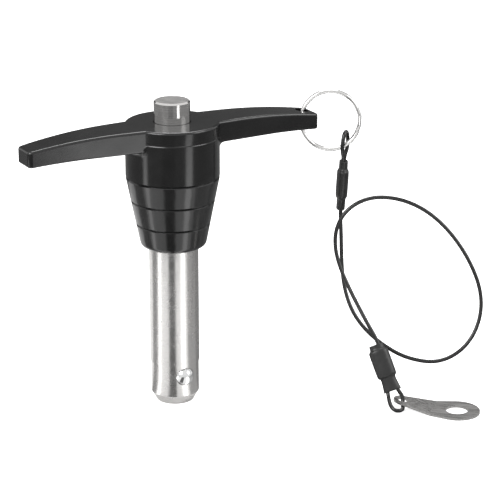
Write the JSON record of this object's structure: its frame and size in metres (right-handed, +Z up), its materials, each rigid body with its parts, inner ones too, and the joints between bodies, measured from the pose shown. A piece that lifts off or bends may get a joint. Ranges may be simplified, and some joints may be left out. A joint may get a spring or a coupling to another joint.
{
  "type": "ball lock pin",
  "caption": "Quick-release ball lock pin with a T-handle and push button, tethered by a split ring and coated wire lanyard with a fixing tab.",
  "frame": {"origin": "centre of the flat face of the pin's tip, on which the pin stands", "axes": "+Z up along the pin's axis from the tip to the button, X along the handle's two arms with the lanyard on the +X arm, the two locking balls along -Y and +Y"},
  "size_m": [0.144, 0.0771, 0.1002],
  "materials": {
    "handle_black": "smooth glossy black moulding",
    "shank_steel": "ground stainless steel",
    "spindle_steel": "turned stainless steel",
    "button_steel": "bright turned stainless steel",
    "spring_steel": "drawn stainless wire",
    "ball_steel": "polished hardened stainless steel",
    "ring_steel": "polished stainless wire",
    "rope_black": "smooth black nylon coat over steel wire rope",
    "ferrule_aluminium": "plain crimped oval sleeve",
    "sleeve_black": "satin black shrink tube",
    "tab_steel": "stamped stainless sheet, lightly brushed"
  },
  "bodies": {
    "pin": {"handle": "handle_black", "shank": "shank_steel", "spring": "spring_steel"},
    "button": {"button": "button_steel", "spindle": "spindle_steel"},
    "ball_front": {"ball_front": "ball_steel"},
    "ball_rear": {"ball_rear": "ball_steel"},
    "ring": {"split_ring": "ring_steel"},
    "lanyard": {"wire_rope": "rope_black", "ferrule_ring_end": "ferrule_aluminium", "ferrule_tab_end": "ferrule_aluminium", "sleeve_ring_end": "sleeve_black", "sleeve_tab_end": "sleeve_black"},
    "tab": {"tab": "tab_steel"}
  },
  "joints": [
    {"name": "button_press", "type": "slide", "parent": "pin", "child": "button", "axis": [0, 0, -1], "range_m": [0, 0.005], "stiffness_N_per_m": 800, "springref_m": -0.005, "deforming": ["spring"]},
    {"name": "ball_front_slide", "type": "slide", "parent": "pin", "child": "ball_front", "axis": [0, 1, 0], "range_m": [0, 0.00167]},
    {"name": "ball_rear_slide", "type": "slide", "parent": "pin", "child": "ball_rear", "axis": [0, -1, 0], "range_m": [0, 0.00167]},
    {"name": "ring_swing", "type": "hinge", "parent": "pin", "child": "ring", "pos_m": [0.047, 0, 0.088], "axis": [0, 0, 1], "range_deg": [-55, 120]},
    {"name": "lanyard_swing", "type": "hinge", "parent": "ring", "child": "lanyard", "pos_m": [0.05933, -0.00761, 0.07995], "axis": [0.7648, -0.3488, 0.5417], "range_deg": [-45, 60]},
    {"name": "tab_swing", "type": "hinge", "parent": "lanyard", "child": "tab", "pos_m": [0.06104, -0.04251, 0.0007], "axis": [-0.4756, -0.8796, 0], "range_deg": [-15, 30]}
  ],
  "couplings": [
    {"joint": "ball_front_slide", "follows": "button_press", "ratio": 0.334},
    {"joint": "ball_rear_slide", "follows": "button_press", "ratio": 0.334}
  ]
}
